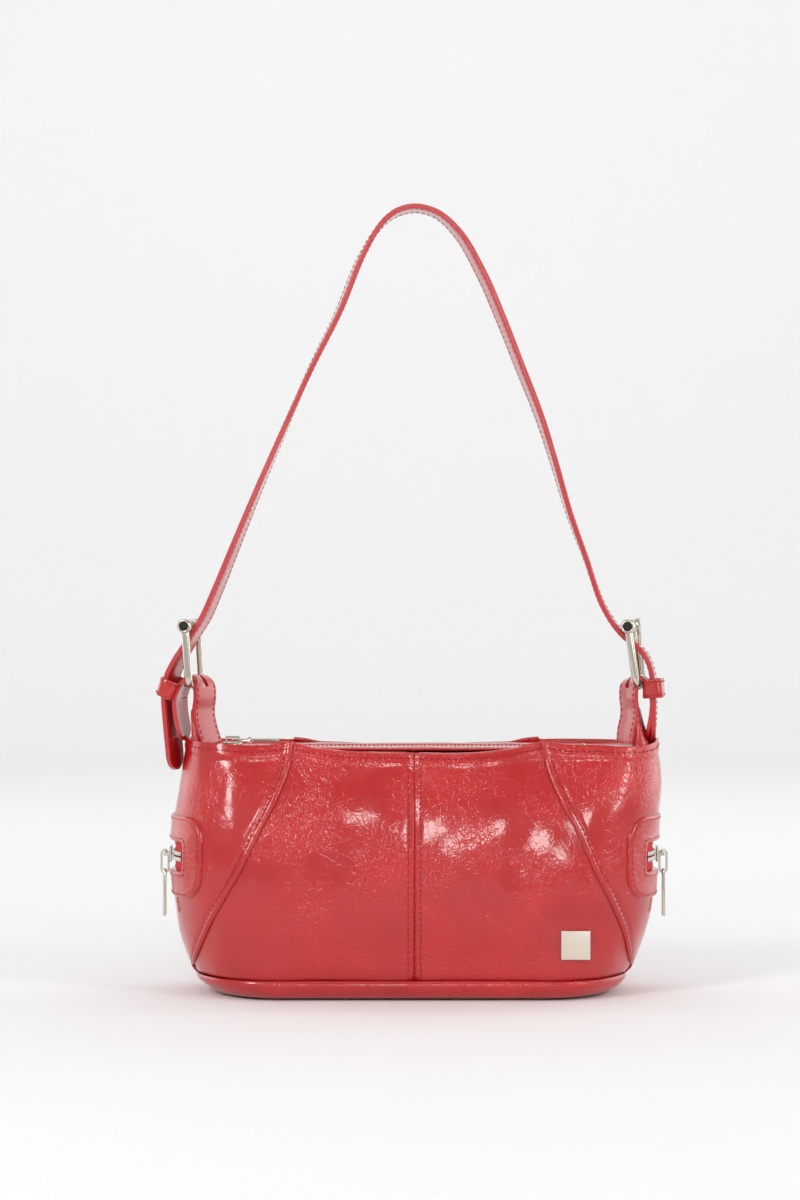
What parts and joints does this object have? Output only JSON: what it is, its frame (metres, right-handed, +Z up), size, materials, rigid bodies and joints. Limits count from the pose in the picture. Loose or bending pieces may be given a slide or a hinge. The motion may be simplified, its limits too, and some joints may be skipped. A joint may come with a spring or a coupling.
{
  "type": "small shoulder bag",
  "caption": "Boat-shaped patent shoulder bag with a top zip, a short zip round each end and a strap held by roller buckles.",
  "frame": {"origin": "on the ground under the base's centre", "axes": "+X along the bag's length, -Y its front, +Z up"},
  "size_m": [0.2964, 0.096, 0.4567],
  "materials": {
    "patent_red": "high gloss crinkled patent",
    "tape_red": "woven",
    "metal": "polished pale nickel",
    "lining_cloth": "twill",
    "board": "fibreboard"
  },
  "bodies": {
    "bag": {"front_panel_left": "patent_red", "front_panel_right": "patent_red", "back_panel_left": "patent_red", "back_panel_right": "patent_red", "side_panel_left": "patent_red", "side_panel_right": "patent_red", "base_panel": "patent_red", "base_board": "board", "lining": "lining_cloth", "patch_left": "patent_red", "patch_right": "patent_red", "side_zip_tape_left": "tape_red", "side_zip_tape_right": "tape_red", "side_zip_teeth_left": "metal", "side_zip_teeth_right": "metal", "mouth_end_left": "patent_red", "mouth_end_right": "patent_red", "zip_teeth_ends": "metal", "zip_stops": "metal", "name_plate": "metal"},
    "front_flap": {"facing_front": "patent_red", "zip_tape_front": "tape_red", "zip_teeth_front": "metal"},
    "back_flap": {"facing_back": "patent_red", "zip_tape_back": "tape_red", "zip_teeth_back": "metal"},
    "main_slider": {"zip_slider": "metal"},
    "main_link": {"zip_pull_link": "metal"},
    "main_tag": {"zip_pull_tag": "metal"},
    "strap_set": {"strap": "patent_red", "chape_left": "patent_red", "chape_right": "patent_red", "buckle_frame_left": "metal", "buckle_frame_right": "metal"},
    "side_slider_left": {"side_slider_left": "metal"},
    "side_link_left": {"side_pull_link_left": "metal"},
    "side_tag_left": {"side_pull_tag_left": "metal"},
    "roller_left": {"buckle_roller_left": "metal"},
    "prong_left": {"buckle_prong_left": "metal"},
    "keeper_left": {"keeper_left": "patent_red"},
    "side_slider_right": {"side_slider_right": "metal"},
    "side_link_right": {"side_pull_link_right": "metal"},
    "side_tag_right": {"side_pull_tag_right": "metal"},
    "roller_right": {"buckle_roller_right": "metal"},
    "prong_right": {"buckle_prong_right": "metal"},
    "keeper_right": {"keeper_right": "patent_red"}
  },
  "joints": [
    {"name": "strap_swing", "type": "hinge", "parent": "bag", "child": "strap_set", "pos_m": [0, 0, 0.157], "axis": [1, 0, 0], "range_deg": [-70, 70]},
    {"name": "front_flap_open", "type": "hinge", "parent": "bag", "child": "front_flap", "pos_m": [0, -0.026, 0.142], "axis": [1, 0, 0], "range_deg": [0, 80]},
    {"name": "back_flap_open", "type": "hinge", "parent": "bag", "child": "back_flap", "pos_m": [0, 0.026, 0.142], "axis": [-1, 0, 0], "range_deg": [0, 80]},
    {"name": "zip_slide", "type": "slide", "parent": "bag", "child": "main_slider", "axis": [1, 0, 0], "range_m": [0, 0.198]},
    {"name": "main_link_lift", "type": "hinge", "parent": "main_slider", "child": "main_link", "pos_m": [-0.106, 0, 0.14625], "axis": [0, -1, 0], "range_deg": [0, 90]},
    {"name": "main_tag_lift", "type": "hinge", "parent": "main_link", "child": "main_tag", "pos_m": [-0.096, 0, 0.14625], "axis": [0, -1, 0], "range_deg": [0, 45]},
    {"name": "side_zip_slide_left", "type": "hinge", "parent": "bag", "child": "side_slider_left", "pos_m": [-0.093, 0, 0.08], "axis": [0, 0, 1], "range_deg": [-27, 27]},
    {"name": "side_link_swing_left", "type": "hinge", "parent": "side_slider_left", "child": "side_link_left", "pos_m": [-0.14555, 0, 0.08], "axis": [0, 1, 0], "range_deg": [0, 90]},
    {"name": "side_tag_swing_left", "type": "hinge", "parent": "side_link_left", "child": "side_tag_left", "pos_m": [-0.14555, 0, 0.06895], "axis": [1, 0, 0], "range_deg": [-60, 60]},
    {"name": "roller_spin_left", "type": "hinge", "parent": "strap_set", "child": "roller_left", "pos_m": [-0.13034, 0.00041, 0.21292], "axis": [0.1736, 0.9848, 0], "continuous": true},
    {"name": "prong_lift_left", "type": "hinge", "parent": "strap_set", "child": "prong_left", "pos_m": [-0.128, 0, 0.179], "axis": [-0.1736, -0.9848, 0], "range_deg": [0, 8]},
    {"name": "keeper_slide_left", "type": "slide", "parent": "strap_set", "child": "keeper_left", "axis": [0, 0, -1], "range_m": [0, 0.002]},
    {"name": "side_zip_slide_right", "type": "hinge", "parent": "bag", "child": "side_slider_right", "pos_m": [0.093, 0, 0.08], "axis": [0, 0, 1], "range_deg": [-27, 27]},
    {"name": "side_link_swing_right", "type": "hinge", "parent": "side_slider_right", "child": "side_link_right", "pos_m": [0.14555, 0, 0.08], "axis": [0, -1, 0], "range_deg": [0, 90]},
    {"name": "side_tag_swing_right", "type": "hinge", "parent": "side_link_right", "child": "side_tag_right", "pos_m": [0.14555, 0, 0.06895], "axis": [1, 0, 0], "range_deg": [-60, 60]},
    {"name": "roller_spin_right", "type": "hinge", "parent": "strap_set", "child": "roller_right", "pos_m": [0.12634, 0.00082, 0.21267], "axis": [0.1736, 0.9848, 0], "continuous": true},
    {"name": "prong_lift_right", "type": "hinge", "parent": "strap_set", "child": "prong_right", "pos_m": [0.131, 0, 0.179], "axis": [0.1736, 0.9848, 0], "range_deg": [0, 8]},
    {"name": "keeper_slide_right", "type": "slide", "parent": "strap_set", "child": "keeper_right", "axis": [0, 0, -1], "range_m": [0, 0.002]}
  ]
}
